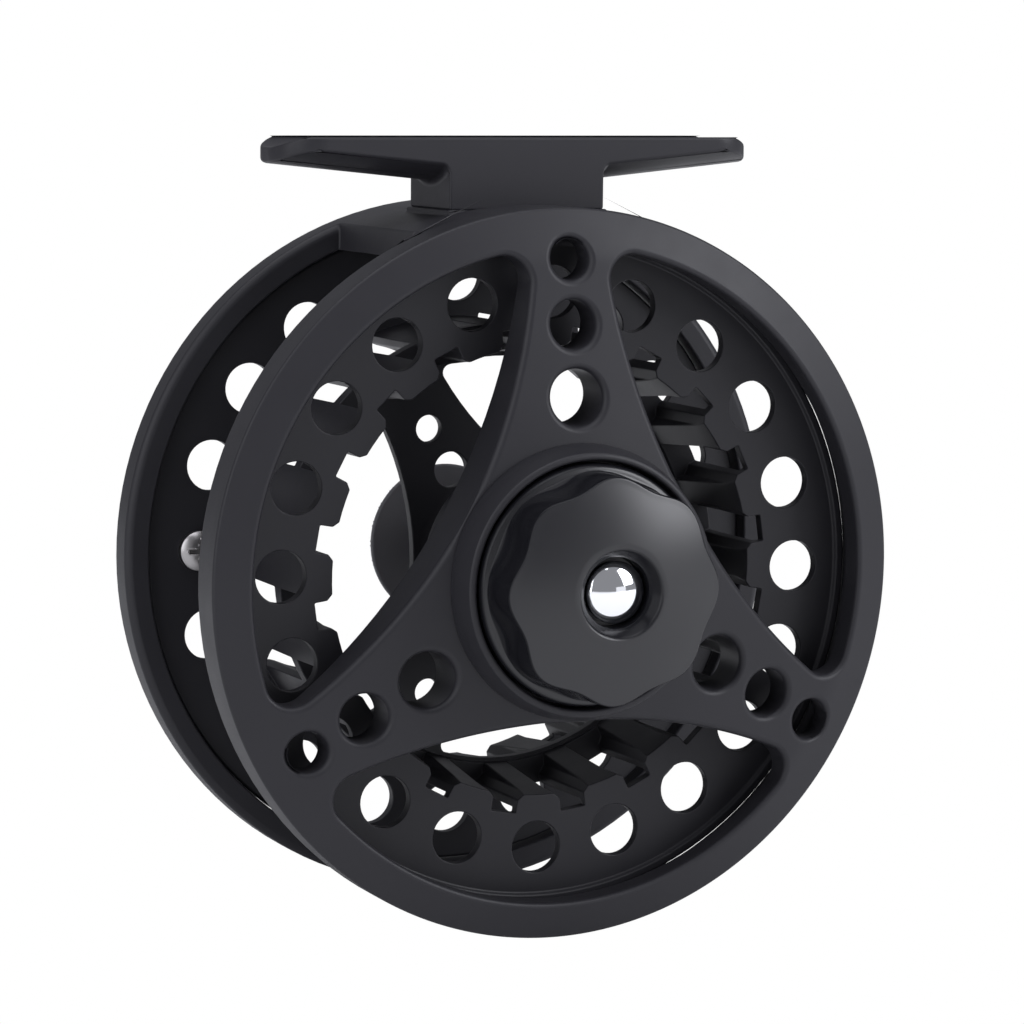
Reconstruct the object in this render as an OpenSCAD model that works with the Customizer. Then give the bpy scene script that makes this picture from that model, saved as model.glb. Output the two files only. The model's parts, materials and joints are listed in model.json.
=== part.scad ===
// Fly reel with a ported three-spoke frame, caged large-arbor spool and a sealed disc drag.
// Millimetres, +Z up. The origin is the centre of the flat along the foot's hollowed top.
// The spindle runs along Y: the drag knob faces -Y, the handle faces +Y.

/* [Frame] */
// Outside diameter of both frame rings
ring_diameter = 86.2; // [85:0.2:90]
// Front edge of the drag-side ring to the rear edge of the handle-side ring
frame_width = 36.4; // [35:0.2:42]
// Diameter of the bore inside the front ring's face
front_ring_bore = 77.2; // [74:0.2:78]
// Width of the arch that joins the two rings over the top
arch_width = 31.2; // [24:0.4:36]

/* [Foot] */
// Length of the foot over both wings
foot_length = 61.4; // [56:0.2:70]
// Width of the foot across the rod
foot_width = 12.6; // [11:0.2:16]
// Spindle axis to the top of the foot
foot_height = 51; // [49:0.1:56]
// Depth of the hollow along the top of the foot
saddle_depth = 1.2; // [0.4:0.1:1.4]

/* [Spool] */
// Outside diameter of the spool flanges
flange_diameter = 79.8; // [76:0.2:80]
// Outside diameter of the arbor the line winds on
arbor_diameter = 57; // [54:0.5:59]
// Number of round holes, and of arbor slots, around the spool
port_count = 20; // [12:4:24]
// Diameter of the round holes in the flanges
port_diameter = 6.2; // [4:0.1:6.8]
// Width of the slots through the arbor
slot_width = 3.2; // [2:0.1:3.6]

/* [Drag] */
// Diameter of the drag knob over its lobes
knob_diameter = 26.4; // [24:0.2:27]
// Number of lobes around the drag knob
knob_lobes = 8; // [6:1:12]
// Outside diameter of the drag housing behind the frame
housing_diameter = 27; // [26:0.2:29]
// Number of teeth on the click gear
click_teeth = 24; // [16:2:30]

/* [Handle] */
// Length of the handle grip
grip_length = 22; // [18:0.5:28]
// Largest diameter of the handle grip
grip_diameter = 12.4; // [10:0.2:12.8]

/* [Hidden] */
$fn = 72;

// Stations along the spindle, measured from the front edge of the drag-side ring.
ring_r = ring_diameter / 2;
front_ring_back = 5.6;
plate_back = 1.6;
foot_mid_y = 17;
far_ring_front = frame_width - 4.45;
housing_back = 10.2;
recess_floor = -6;
cavity_floor = -2.6;
collar_top = -9;
knob_face = -17.2;
flange_in = 4.9;
flange_out = frame_width - 1.6;
flange_t = 1.4;
web_front = 18.5;
web_back = 19.9;
cap_y = frame_width - 0.4;

// Radii shared by pieces that meet.
edge = 0.45;
recess_r = 14.5;
collar_r = 16.15;
cavity_r = housing_diameter / 2 - 1.3;
ring_recess_r = 40.2;
arch_in_r = 40.1;
spindle_r = 3;
thread_r = 2.5;
end_thread_r = 2;
fit = 0.05;
arbor_r = arbor_diameter / 2;
arbor_mouth_r = 26.8;
arbor_waist_r = 25.1;
flange_r = flange_diameter / 2;
port_ring_r = 33.5;
first_port = 89;
near_ring_r = 33.1;
first_near_port = 88.6;
handle_angle = 359;
weight_angle = 179;
eps = 0.02;

case_black = [0.20, 0.20, 0.22];
knob_black = [0.15, 0.15, 0.16];
steel = [0.72, 0.73, 0.75];
chrome = [0.86, 0.87, 0.89];
brass = [0.80, 0.65, 0.35];
bronze = [0.70, 0.50, 0.30];
cork = [0.72, 0.55, 0.38];
rubber = [0.06, 0.06, 0.07];
nylon = [0.88, 0.88, 0.84];

// Moves a piece from spindle coordinates to the foot origin.
module at_reel() {
    translate([0, -foot_mid_y, saddle_depth - foot_height])
        children();
}

// Turned shape about the spindle from a profile of [radius, station] points.
module turned(profile) {
    rotate([-90, 0, 0])
        rotate_extrude()
            polygon(profile);
}

// Flat shape drawn in the XZ plane and given thickness from y0 to y1.
module slab(y0, y1) {
    translate([0, y1, 0])
        rotate([90, 0, 0])
            linear_extrude(y1 - y0)
                children();
}

// Round bar or bore along Y.
module rod(r, y0, y1) {
    translate([0, y0, 0])
        rotate([-90, 0, 0])
            cylinder(r = r, h = y1 - y0);
}

// Cone along Y with radius ra at y0 and rb at y1.
module taper(ra, rb, y0, y1) {
    translate([0, y0, 0])
        rotate([-90, 0, 0])
            cylinder(r1 = ra, r2 = rb, h = y1 - y0);
}

// Ring along Y.
module sleeve(ro, ri, y0, y1) {
    difference() {
        rod(ro, y0, y1);
        rod(ri, y0 - 1, y1 + 1);
    }
}

// Places children at a radius and an angle around the spindle.
module around(r, a) {
    rotate([0, -a, 0])
        translate([r, 0, 0])
            children();
}

// Hexagon across flats af, drawn flat.
module hexagon(af) {
    circle(d = af / cos(30), $fn = 6);
}

// Opening between two spokes along +X: bounded by a hub-side arc and the ring bore,
// with both corners rounded.
module spoke_gap(near, arc_r, bore_r, corner) {
    u0 = near + arc_r;
    cu = (pow(bore_r - corner, 2) - pow(arc_r - corner, 2) + u0 * u0) / (2 * u0);
    cv = sqrt(pow(bore_r - corner, 2) - cu * cu);
    k_bore = bore_r / (bore_r - corner);
    k_arc = arc_r / (arc_r - corner);
    tu_bore = cu * k_bore;
    tv_bore = cv * k_bore;
    tu_arc = u0 + (cu - u0) * k_arc;
    tv_arc = cv * k_arc;
    far = 2 * bore_r;
    intersection() {
        circle(bore_r);
        translate([u0, 0])
            circle(arc_r);
        polygon([[0, tv_arc], [tu_arc, tv_arc], [tu_bore, tv_bore], [far, tv_bore],
            [far, -tv_bore], [tu_bore, -tv_bore], [tu_arc, -tv_arc], [0, -tv_arc]]);
    }
    for (s = [-1, 1])
        translate([cu, s * cv])
            circle(corner);
}

// Concave quarter fillet filling the corner at the origin, towards +X +Y.
module corner_fill(r) {
    difference() {
        square(r);
        translate([r, r])
            circle(r);
    }
}

// Cross recess cut into a screw head whose top lies at z = 0 and faces up.
module cross_slot(span, depth) {
    for (a = [0, 90])
        rotate(a)
            translate([-span / 2, -span / 10, -depth])
                cube([span, span / 5, depth + 1]);
}

module frame_plate() {
    turned([[0, recess_floor], [recess_r, recess_floor], [recess_r, collar_top],
        [collar_r - 1, collar_top], [collar_r - 0.75, collar_top + 0.3],
        [collar_r, recess_floor], [collar_r, -5.15], [37.8, -1.95],
        [ring_r - edge, -0.18], [ring_r, 0.3], [ring_r, front_ring_back - edge],
        [ring_r - edge, front_ring_back], [ring_recess_r, front_ring_back],
        [ring_recess_r, plate_back], [housing_diameter / 2, plate_back],
        [housing_diameter / 2, housing_back - 0.3], [housing_diameter / 2 - 0.3, housing_back],
        [cavity_r, housing_back], [cavity_r, cavity_floor], [0, cavity_floor]]);
}

module far_ring() {
    turned([[arch_in_r, far_ring_front], [ring_r - 0.7, far_ring_front],
        [ring_r, far_ring_front + 0.5], [ring_r, frame_width - edge],
        [ring_r - edge, frame_width], [arch_in_r + 0.3, frame_width],
        [arch_in_r, frame_width - 0.3]]);
}

module arch() {
    half = arch_width / 2;
    y0 = front_ring_back - 1;
    y1 = far_ring_front + 1;
    blend = 3.2;
    intersection() {
        sleeve(ring_r, arch_in_r, y0, y1);
        translate([0, 0, 20])
            linear_extrude(40)
                union() {
                    translate([-half, y0])
                        square([arch_width, y1 - y0]);
                    for (side = [0, 1])
                        mirror([side, 0])
                            translate([half, front_ring_back])
                                corner_fill(blend);
                }
    }
}

// Flat land on the arch that the foot stands on.
module foot_land() {
    half_x = foot_base_x + 0.35;
    half_y = foot_width / 2 + 0.35;
    difference() {
        translate([-half_x, foot_mid_y - half_y, foot_base_z - 4])
            cube([2 * half_x, 2 * half_y, 4]);
        rod(arch_in_r, 0, frame_width);
    }
}

spoke_holes = [[21.3, 6.6], [29.7, 5.7], [37.2, 4.8]];
foot_base_z = 42.5;
foot_base_x = 9.95;
foot_screw_x = 5.6;

module frame() {
    color(case_black)
        at_reel()
            difference() {
                union() {
                    frame_plate();
                    far_ring();
                    arch();
                    foot_land();
                }
                for (a = [30, 150, 270])
                    slab(collar_top, plate_back + 1)
                        rotate(a)
                            spoke_gap(16.4, 73, front_ring_bore / 2, 3);
                for (a = [90, 210, 330], h = spoke_holes)
                    around(h[0], a)
                        rod(h[1] / 2, -8, plate_back + 1);
                rod(spindle_r + fit, recess_floor - 1, 0);
                translate([-0.85, recess_floor - 1, -4.7])
                    cube([1.7, 2.9, 9.4]);
                sleeve(cavity_r + 0.5, cavity_r - 1, housing_back - 0.9, housing_back - 0.3);
                translate([-foot_base_x - 0.4, foot_mid_y - foot_width / 2 - 0.4, foot_base_z])
                    cube([2 * foot_base_x + 0.8, foot_width + 0.8, 4]);
                for (s = [-1, 1])
                    translate([s * foot_screw_x, foot_mid_y, 0]) {
                        translate([0, 0, 38])
                            cylinder(r = 1.3, h = 8);
                        translate([0, 0, 37])
                            cylinder(r = 2.6, h = 2.7);
                        translate([0, 0, 39.7 - eps])
                            cylinder(r1 = 2.6, r2 = 1.3, h = 1.3);
                    }
            }
}

// Plan outline of the foot with rounded tips.
module foot_plan() {
    c = 5.6;
    half_l = foot_length / 2;
    half_w = foot_width / 2;
    square([foot_length - 2 * c, foot_width], center = true);
    square([foot_length, foot_width - 2 * c], center = true);
    for (sx = [-1, 1], sy = [-1, 1])
        translate([sx * (half_l - c), sy * (half_w - c)])
            circle(c);
}

module foot() {
    belly_r = 10.9;
    root_depth = 5.2;
    tip_depth = 3.1;
    run = foot_length / 2 - foot_base_x;
    rise = atan2(root_depth - tip_depth, run);
    half_w = foot_width / 2;
    land = 0.7;
    under_flat = 0.05;
    trough_depth = saddle_depth + under_flat;
    trough_r = (pow(half_w - land, 2) + trough_depth * trough_depth) / (2 * trough_depth);
    color(case_black)
        translate([0, 0, saddle_depth])
            difference() {
                union() {
                    for (side = [0, 1])
                        mirror([side, 0, 0])
                            intersection() {
                                translate([0, 0, -root_depth - 1])
                                    linear_extrude(root_depth + 1)
                                        intersection() {
                                            foot_plan();
                                            translate([-1, -half_w])
                                                square([foot_length, foot_width]);
                                        }
                                translate([foot_base_x, 0, -root_depth])
                                    rotate([0, -rise, 0])
                                        translate([-foot_base_x - 5, 0, belly_r])
                                            rotate([0, 90, 0])
                                                cylinder(r = belly_r, h = foot_length);
                            }
                    translate([-foot_base_x, -half_w, foot_base_z - foot_height])
                        cube([2 * foot_base_x, foot_width, foot_height - foot_base_z]);
                }
                intersection() {
                    translate([-foot_length, 0, trough_r - trough_depth])
                        rotate([0, 90, 0])
                            cylinder(r = trough_r, h = 2 * foot_length);
                    translate([-foot_length, -foot_width, -saddle_depth])
                        cube([2 * foot_length, 2 * foot_width, 2 * saddle_depth]);
                }
                for (s = [-1, 1])
                    translate([s * foot_screw_x, 0, foot_base_z - foot_height - 1])
                        cylinder(r = 1.25, h = 6.2);
            }
}

module foot_screws() {
    head_z = 39.75;
    color(steel)
        at_reel()
            for (s = [-1, 1])
                translate([s * foot_screw_x, foot_mid_y, head_z])
                    difference() {
                        union() {
                            cylinder(r1 = 2.45, r2 = 1.22, h = 1.23);
                            cylinder(r = 1.22, h = 7);
                        }
                        rotate([180, 0, 0])
                            cross_slot(2.4, 0.8);
                    }
}

// Stations of the spindle's shoulders and clip groove.
spindle_front = -15;
pin_y = -5.1;
thread_start = -6.5;
spindle_step = 26.2;
spindle_end = cap_y + 0.2;
clip_y = 0.85;
clip_t = 0.5;

module spindle() {
    color(steel)
        at_reel()
            difference() {
                union() {
                    taper(thread_r - 0.4, thread_r, spindle_front, spindle_front + 0.4);
                    rod(thread_r, spindle_front + 0.4, thread_start);
                    rod(spindle_r, thread_start, spindle_step - 0.3);
                    taper(spindle_r, spindle_r - 0.3, spindle_step - 0.3, spindle_step);
                    rod(end_thread_r, spindle_step, spindle_end);
                }
                sleeve(spindle_r + 1, spindle_r - 0.5, clip_y - fit, clip_y + clip_t + fit);
                translate([0, pin_y, 0])
                    cylinder(r = 0.76, h = 20, center = true);
            }
}

module spindle_pin() {
    color(steel)
        at_reel()
            translate([0, pin_y, 0])
                cylinder(r = 0.75, h = 9, center = true);
}

module spindle_end_nut() {
    dome_r = 5.4;
    nut_r = 3.6;
    crown = -16.3;
    nut_back = knob_web_front - 0.05;
    color(chrome)
        at_reel()
            difference() {
                intersection() {
                    rod(nut_r, crown - 1, nut_back);
                    translate([0, crown + dome_r, 0])
                        sphere(dome_r);
                }
                rod(thread_r + 0.03, spindle_front - 0.05, nut_back + 1);
            }
}

knob_back = -6.4;
knob_web_front = -13;
knob_web_back = -11.7;
nut_af = 10;
nut_y = -11.2;
nut_t = 2.2;

module drag_knob() {
    r = knob_diameter / 2;
    valley_r = r - 0.95;
    scallop_r = 10.5 * 8 / knob_lobes;
    lobe_back = -8.7;
    skirt_front = -10.6;
    skirt_r = recess_r - 0.4;
    dome_r = 40;
    color(knob_black)
        at_reel()
            difference() {
                union() {
                    difference() {
                        intersection() {
                            rod(r, knob_face - 1, lobe_back);
                            translate([0, knob_face + dome_r, 0])
                                sphere(dome_r);
                        }
                        for (i = [0 : knob_lobes - 1])
                            around(valley_r + scallop_r, (i + 0.5) * 360 / knob_lobes + 90)
                                rod(scallop_r, knob_face - 2, lobe_back + 1);
                    }
                    turned([[0, skirt_front], [r + 0.1, skirt_front], [skirt_r - 0.25, -9.9],
                        [skirt_r, -9.1], [skirt_r, knob_back], [0, knob_back]]);
                }
                taper(5.4, 4.07, knob_face + 0.1, knob_face + 1.6);
                rod(4.07, knob_face, knob_web_front);
                rod(thread_r + 0.1, knob_face, knob_back + 1);
                slab(knob_web_back, knob_back + 1)
                    hexagon(nut_af + 0.1);
            }
}

module drag_nut() {
    color(brass)
        at_reel()
            difference() {
                slab(nut_y, nut_y + nut_t)
                    hexagon(nut_af);
                rod(thread_r + 0.03, nut_y - 1, nut_y + nut_t + 1);
            }
}

module knob_washer() {
    color(nylon)
        at_reel()
            sleeve(recess_r - 0.6, 7.6, knob_back + 0.05, recess_floor);
}

module spring_seat() {
    color(steel)
        at_reel()
            sleeve(4.9, spindle_r + 0.1, recess_floor - 0.45, recess_floor);
}

// Four disc springs stacked face to face.
module disc_springs() {
    t = 0.25;
    cone = 0.17;
    r_in = spindle_r + 0.15;
    r_out = 4.8;
    pitch = t + cone;
    y0 = recess_floor - 0.45 - 4 * pitch;
    color(steel)
        at_reel()
            for (i = [0 : 3]) {
                base = y0 + i * pitch;
                lean = (i % 2 == 0) ? 1 : 0;
                turned([[r_in, base + lean * cone], [r_out, base + (1 - lean) * cone],
                    [r_out, base + (1 - lean) * cone + t - eps],
                    [r_in, base + lean * cone + t - eps]]);
            }
}

rotor_front = -1.6;
rotor_disc_back = 0.4;
clutch_r = 6;
clutch_in_r = 4;

module drag_washer() {
    color(cork)
        at_reel()
            sleeve(cavity_r - 0.5, 4.6, cavity_floor, rotor_front);
}

module drag_rotor() {
    cup_back = 6.6;
    color(steel)
        at_reel()
            difference() {
                union() {
                    rod(cavity_r - 0.4, rotor_front, rotor_disc_back);
                    rod(clutch_r + 1, rotor_disc_back, cup_back);
                }
                rod(spindle_r + 0.08, rotor_front - 1, cup_back);
                rod(clutch_r, rotor_disc_back, cup_back + 1);
                for (i = [0 : 5])
                    around(9.4, i * 60 + 30)
                        rod(1.1, rotor_front - 1, rotor_disc_back + 1);
            }
}

module thrust_washer() {
    color(nylon)
        at_reel()
            sleeve(3.85, spindle_r + 0.08, rotor_disc_back, clip_y - fit);
}

module spindle_clip() {
    color(steel)
        at_reel()
            difference() {
                sleeve(3.8, spindle_r - 0.45, clip_y, clip_y + clip_t);
                translate([0, clip_y - 1, -1.5])
                    cube([6, clip_t + 2, 3]);
            }
}

// One-way clutch: a drawn shell with a ring of rollers inside it.
module clutch_bearing() {
    y0 = 1;
    y1 = 6.5;
    roller_r = 0.6;
    color(steel)
        at_reel() {
            sleeve(clutch_r - 0.01, clutch_r - 0.85, y0, y1);
            sleeve(clutch_r - 0.5, clutch_in_r + 0.12, y0, y0 + 0.5);
            sleeve(clutch_r - 0.5, clutch_in_r + 0.12, y1 - 0.5, y1);
            for (i = [0 : 9])
                around(clutch_in_r + 0.02 + roller_r, i * 36)
                    rod(roller_r, y0 + 0.4, y1 - 0.4);
        }
}

drive_af = 8;
gear_y = 6.95;
gear_t = 1.1;
sleeve_back = 10.4;
hex_back = 13.6;

module drive_sleeve() {
    color(steel)
        at_reel()
            difference() {
                union() {
                    rod(clutch_in_r, 1.5, sleeve_back);
                    slab(sleeve_back, hex_back)
                        hexagon(drive_af);
                }
                rod(spindle_r + 0.04, 1, 14);
            }
}

// Symmetric pointed teeth so the click sounds both ways.
module click_gear() {
    root_r = 6.6;
    tip_r = 7.4;
    step = 360 / click_teeth;
    color(brass)
        at_reel()
            slab(gear_y, gear_y + gear_t)
                difference() {
                    union() {
                        circle(root_r);
                        for (i = [0 : click_teeth - 1])
                            rotate(i * step)
                                polygon([[root_r - 0.6, -0.95], [tip_r, -0.12],
                                    [tip_r, 0.12], [root_r - 0.6, 0.95]]);
                    }
                    circle(clutch_in_r + 0.01);
                }
}

pawl_r = 10;
cover_front = housing_back - 1.8;
cover_back = housing_back - 0.9;
pawl_angle = 90 - 180 / click_teeth;

module click_pawl() {
    color(brass)
        at_reel()
            rotate([0, -pawl_angle, 0])
                difference() {
                    union() {
                        translate([pawl_r, 0, 0])
                            rod(1.4, gear_y, gear_y + gear_t);
                        slab(gear_y, gear_y + gear_t)
                            polygon([[7.7, -0.1], [7.7, 0.1], [pawl_r - 0.5, 1.15],
                                [pawl_r - 0.5, -1.15]]);
                    }
                    translate([pawl_r, 0, 0])
                        rod(0.64, gear_y - 1, gear_y + gear_t + 1);
                }
}

module pawl_pin() {
    color(steel)
        at_reel()
            around(pawl_r, pawl_angle)
                rod(0.6, gear_y - 0.1, cover_back);
}

module click_spring() {
    leaf_r = pawl_r + 1.5;
    color(steel)
        at_reel()
            rotate([0, -pawl_angle, 0])
                translate([leaf_r, gear_y + 0.1, -3.2])
                    cube([0.25, cover_front - gear_y - 0.1, 6.4]);
}

seal_r = 5.8;

module housing_cover() {
    color(case_black)
        at_reel()
            difference() {
                rod(cavity_r - 0.02, cover_front, cover_back);
                rod(seal_r, 0, housing_back + 1);
                around(pawl_r, pawl_angle)
                    rod(0.61, 0, housing_back + 1);
            }
}

module housing_clip() {
    color(steel)
        at_reel()
            difference() {
                sleeve(cavity_r + 0.45, cavity_r - 0.8, cover_back + 0.03, cover_back + 0.53);
                translate([0, housing_back - 2, 0])
                    rotate([0, 45, 0])
                        translate([0, 0, -2.4])
                            cube([20, 3, 4.8]);
            }
}

module shaft_seal() {
    color(rubber)
        at_reel()
            sleeve(seal_r - 0.02, clutch_in_r + 0.06, cover_front, cover_back);
}

// Slot through the arbor wall, with flared inner corners.
module arbor_slot(y0, y1) {
    w = slot_width / 2;
    slab(y0, y1)
        polygon([[arbor_waist_r - 0.6, -w - 0.9], [arbor_mouth_r - 0.4, -w - 0.9],
            [arbor_mouth_r + 0.6, -w], [arbor_r + 0.5, -w], [arbor_r + 0.5, w],
            [arbor_mouth_r + 0.6, w], [arbor_mouth_r - 0.4, w + 0.9],
            [arbor_waist_r - 0.6, w + 0.9]]);
}

hub_front = 10.9;
socket_back = 13.9;
hub_back = 26;
bush_r = 4.6;
hub_r = 7.5;
star_hub_r = 10.7;
star_angle = 0;

// The spool before it is drilled: hub, star plate, arbor and both flanges, turned in one.
module spool_blank() {
    near_out = flange_in + flange_t;
    far_in = flange_out - flange_t;
    rim_in = flange_r - 1;
    bead = 0.4;
    turned([[0, hub_front], [hub_r - 0.5, hub_front], [hub_r, hub_front + 0.5],
        [hub_r, web_front - 1.2], [star_hub_r, web_front], [arbor_waist_r, web_front],
        [arbor_mouth_r, flange_in], [rim_in - 0.3, flange_in], [rim_in, flange_in - bead],
        [flange_r - 0.25, flange_in - bead], [flange_r, flange_in - bead + 0.25],
        [flange_r, near_out - 0.25], [flange_r - 0.25, near_out], [arbor_r, near_out],
        [arbor_r, far_in], [flange_r - 0.25, far_in], [flange_r, far_in + 0.25],
        [flange_r, flange_out + bead - 0.25], [flange_r - 0.25, flange_out + bead],
        [rim_in, flange_out + bead], [rim_in - 0.3, flange_out], [arbor_mouth_r, flange_out],
        [arbor_waist_r, web_back], [star_hub_r, web_back], [hub_r, web_back + 1.2],
        [hub_r, hub_back], [0, hub_back]]);
}

module spool() {
    near_out = flange_in + flange_t;
    far_in = flange_out - flange_t;
    step = 360 / port_count;
    color(case_black)
        at_reel()
            difference() {
                spool_blank();
                for (i = [0 : port_count - 1])
                    around(near_ring_r, first_near_port + i * step)
                        rod(port_diameter / 2, flange_in - 2, near_out + 1);
                for (i = [0 : port_count - 1])
                    if (i % (port_count / 2) != port_count / 4)
                        around(port_ring_r, first_port + i * step)
                            rod(port_diameter / 2, far_in - 1, flange_out + 2);
                for (i = [0 : port_count - 1])
                    rotate([0, -first_port - (i + 0.5) * step, 0]) {
                        arbor_slot(flange_in - 1, web_front - 0.3);
                        arbor_slot(web_back + 0.3, flange_out + 1);
                    }
                for (a = [handle_angle, weight_angle])
                    around(port_ring_r, a)
                        rod(1.55, far_in - 1, flange_out + 1);
                for (i = [0 : 2]) {
                    slab(web_front - 1, web_back + 1)
                        rotate(star_angle + 60 + i * 120)
                            spoke_gap(star_hub_r + 0.5, 37, arbor_waist_r - 0.5, 1);
                    around(18.5, star_angle + i * 120)
                        rod(1.65, web_front - 1, web_back + 1);
                    around(12.7, star_angle + i * 120)
                        rod(2.15, web_front - 1, web_back + 1);
                }
                slab(hub_front - 1, socket_back)
                    hexagon(drive_af + 0.12);
                rod(bush_r, socket_back - eps, hub_back + 1);
            }
}

module spool_bushes() {
    color(bronze)
        at_reel()
            for (y = [socket_back + 0.2, hub_back - 4])
                sleeve(bush_r - 0.01, spindle_r + 0.04, y, y + 3.6);
}

module cap_washer() {
    color(nylon)
        at_reel()
            sleeve(4.4, end_thread_r + 0.1, spindle_step + 0.1, spindle_step + 0.7);
}

module spool_cap() {
    r = 9.75;
    stem_r = 3.9;
    stem_front = spindle_step + 0.8;
    grip_cuts = 24;
    color(case_black)
        at_reel()
            difference() {
                turned([[0, stem_front], [stem_r, stem_front], [stem_r, cap_y - 0.6],
                    [stem_r + 0.6, cap_y], [r - 0.2, cap_y], [r, cap_y + 0.2],
                    [r, cap_y + 0.5], [r - 0.6, cap_y + 2], [r - 1.8, cap_y + 3.2],
                    [r - 3.8, cap_y + 4], [0, cap_y + 4.4]]);
                rod(end_thread_r + 0.03, stem_front - 1, spindle_end + 0.3);
                for (i = [0 : grip_cuts - 1])
                    around(r + 0.35, i * 360 / grip_cuts)
                        rod(0.8, cap_y + 1.1, cap_y + 5);
            }
}

post_r = 2.2;
grip_start = flange_out + 1.7;
post_end = grip_start + grip_length - 1.2;

module handle_post() {
    color(steel)
        at_reel()
            around(port_ring_r, handle_angle)
                difference() {
                    union() {
                        rod(1.5, flange_out - flange_t, flange_out);
                        rod(4, flange_out, flange_out + 1);
                        rod(post_r, flange_out + 1, post_end);
                    }
                    rod(1.02, post_end - 8, post_end + 1);
                }
}

module handle_grip() {
    r = grip_diameter / 2;
    y0 = grip_start;
    y1 = grip_start + grip_length;
    color(knob_black)
        at_reel()
            around(port_ring_r, handle_angle)
                difference() {
                    turned([[0, y0], [r - 2.1, y0], [r - 1.4, y0 + 0.7], [r - 1.6, y0 + 4],
                        [r - 0.6, y0 + 10], [r, y1 - 6], [r, y1 - 2], [r - 1, y1 - 0.4],
                        [r - 2, y1], [0, y1]]);
                    rod(post_r + 0.08, y0 - 1, y1 + 1);
                    rod(3.6, y1 - 1.4, y1 + 1);
                }
}

module handle_washer() {
    color(nylon)
        at_reel()
            around(port_ring_r, handle_angle)
                sleeve(3.4, 1.1, post_end + 0.02, post_end + 0.35);
}

// Screw along Y with a domed pan head facing out (dir = 1) or in (dir = -1).
module pan_screw(head_r, head_h, shank_r, shank_l, dir) {
    dome_r = 1.6 * head_r;
    sag = dome_r - sqrt(dome_r * dome_r - head_r * head_r);
    rotate([-90 * dir, 0, 0])
        difference() {
            union() {
                intersection() {
                    cylinder(r = head_r, h = head_h);
                    translate([0, 0, head_h - dome_r])
                        sphere(dome_r);
                }
                translate([0, 0, -shank_l])
                    cylinder(r = shank_r, h = shank_l + head_h - sag);
            }
            translate([0, 0, head_h])
                cross_slot(head_r * 1.2, head_h * 0.55);
        }
}

module handle_screw() {
    color(steel)
        at_reel()
            around(port_ring_r, handle_angle)
                translate([0, post_end + 0.37, 0])
                    pan_screw(2.6, 1.3, 1, 7, 1);
}

module counterweight() {
    color(steel)
        at_reel()
            around(port_ring_r, weight_angle)
                difference() {
                    turned([[0, flange_out], [5, flange_out], [5, flange_out + 4.2],
                        [4.4, flange_out + 4.8], [0, flange_out + 4.8]]);
                    rod(1.53, flange_out - 1, flange_out + 4);
                }
}

module counterweight_screw() {
    color(steel)
        at_reel()
            around(port_ring_r, weight_angle)
                translate([0, flange_out - flange_t, 0])
                    pan_screw(2.45, 1.7, 1.5, 5, -1);
}

frame();
foot();
foot_screws();
spindle();
spindle_pin();
spindle_end_nut();
drag_knob();
drag_nut();
knob_washer();
spring_seat();
disc_springs();
drag_washer();
drag_rotor();
thrust_washer();
spindle_clip();
clutch_bearing();
drive_sleeve();
click_gear();
click_pawl();
pawl_pin();
click_spring();
housing_cover();
housing_clip();
shaft_seal();
spool();
spool_bushes();
cap_washer();
spool_cap();
handle_post();
handle_grip();
handle_washer();
handle_screw();
counterweight();
counterweight_screw();
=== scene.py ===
"""Looks of the fly reel: camera, studio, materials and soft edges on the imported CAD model."""

import json
import math

import bmesh
import bpy
from mathutils import Matrix, Vector, kdtree
from mathutils.geometry import delaunay_2d_cdt


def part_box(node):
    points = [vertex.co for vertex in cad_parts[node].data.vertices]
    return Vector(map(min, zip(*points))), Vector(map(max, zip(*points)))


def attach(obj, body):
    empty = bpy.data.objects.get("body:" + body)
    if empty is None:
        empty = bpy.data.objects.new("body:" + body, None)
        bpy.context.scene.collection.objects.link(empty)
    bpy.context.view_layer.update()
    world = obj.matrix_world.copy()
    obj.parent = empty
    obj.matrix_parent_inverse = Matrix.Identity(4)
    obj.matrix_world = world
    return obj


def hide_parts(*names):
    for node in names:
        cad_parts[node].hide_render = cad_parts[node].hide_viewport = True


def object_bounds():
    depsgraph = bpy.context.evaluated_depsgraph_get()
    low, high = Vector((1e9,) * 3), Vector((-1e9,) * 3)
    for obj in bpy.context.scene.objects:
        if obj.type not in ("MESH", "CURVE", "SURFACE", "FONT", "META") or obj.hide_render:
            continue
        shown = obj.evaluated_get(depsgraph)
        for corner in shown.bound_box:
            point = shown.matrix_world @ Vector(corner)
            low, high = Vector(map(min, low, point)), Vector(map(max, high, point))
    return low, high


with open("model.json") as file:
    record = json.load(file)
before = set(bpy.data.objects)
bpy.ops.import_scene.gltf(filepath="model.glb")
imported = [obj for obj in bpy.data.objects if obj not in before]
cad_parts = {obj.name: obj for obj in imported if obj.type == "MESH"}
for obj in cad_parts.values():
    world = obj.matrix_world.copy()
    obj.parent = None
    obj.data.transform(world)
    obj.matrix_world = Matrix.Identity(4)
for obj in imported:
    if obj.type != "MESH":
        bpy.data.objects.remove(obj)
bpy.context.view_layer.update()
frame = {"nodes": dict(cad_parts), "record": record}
NODES = frame["nodes"]
MM = 0.001
SCENE = bpy.context.scene
SCENE.view_settings.view_transform = "Standard"

# ---------------------------------------------------------------- camera

CAMERA_AT = Vector((-182.44, -422.38, 8.73)) * MM
YAW, PITCH, ROLL = (math.radians(a) for a in (23.477, 6.543, 0.424))
LENS, SENSOR = 134.53, 36.0
CLIP_NEAR, CLIP_FAR = 0.01, 50.0


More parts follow.
